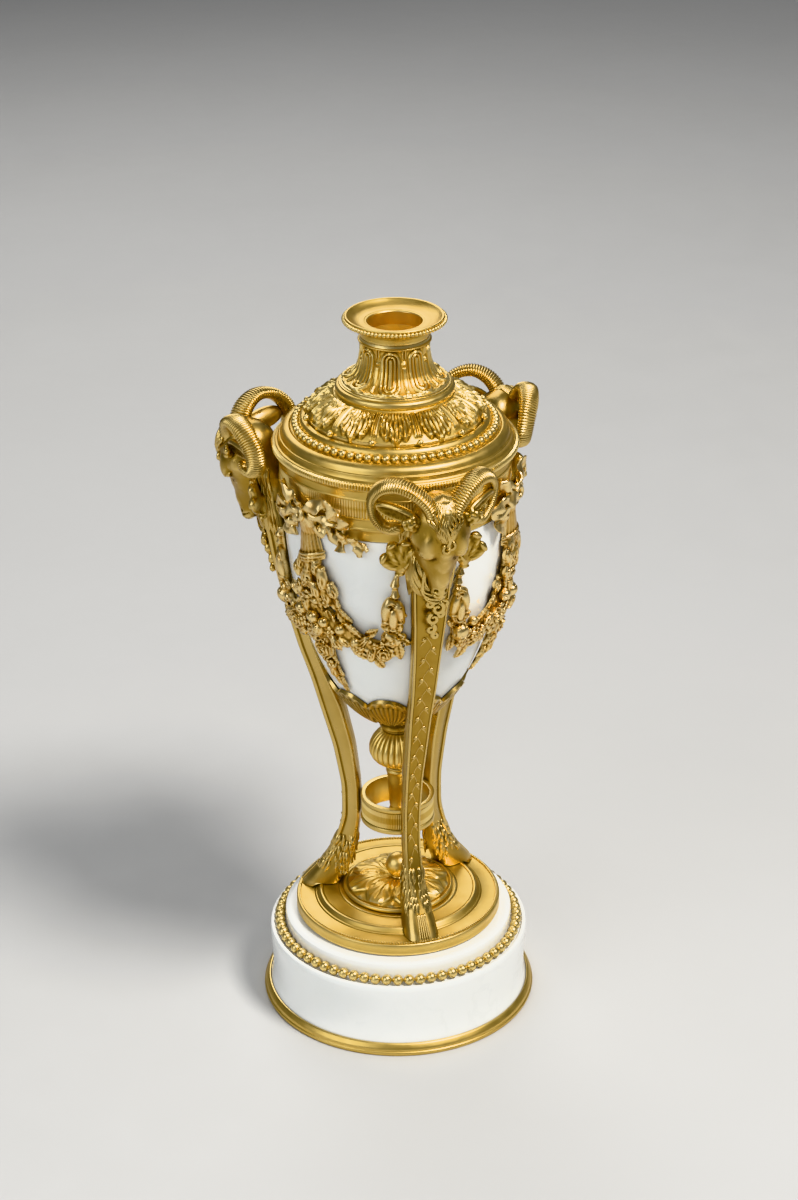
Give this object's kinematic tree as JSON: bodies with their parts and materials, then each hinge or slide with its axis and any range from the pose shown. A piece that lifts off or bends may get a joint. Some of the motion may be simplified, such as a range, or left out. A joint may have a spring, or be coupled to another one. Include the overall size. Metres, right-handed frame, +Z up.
{
  "type": "candle holder",
  "caption": "Tripod candle holder: a hollow white marble urn in gilt ram-headed mounts with garlands, a lift-off cover with a candle nozzle, and a round marble plinth.",
  "frame": {"origin": "centre of the plinth's underside, on the surface that the holder stands on", "axes": "+Z up along the turned axis, one ram leg at -Y"},
  "size_m": [0.117, 0.1167, 0.2719],
  "materials": {
    "gilt": "gilt bronze, satin with burnished edges and brown recesses",
    "marble": "polished white marble"
  },
  "bodies": {
    "root": {"plinth_foot_ring": "gilt", "marble_plinth": "marble", "plinth_bead_ring": "gilt", "base_plate": "gilt", "leaf_boss": "gilt", "boss_ball": "gilt", "leg_ring": "gilt", "pendant_stem": "gilt", "ribbed_knop": "gilt", "shell_cup": "gilt", "marble_urn": "marble", "collar_band": "gilt", "cover": "gilt", "candle_nozzle": "gilt", "drip_pan": "gilt", "ram_leg_1": "gilt", "ram_leg_2": "gilt", "ram_leg_3": "gilt", "garland_1": "gilt", "garland_2": "gilt", "garland_3": "gilt"}
  },
  "joints": []
}
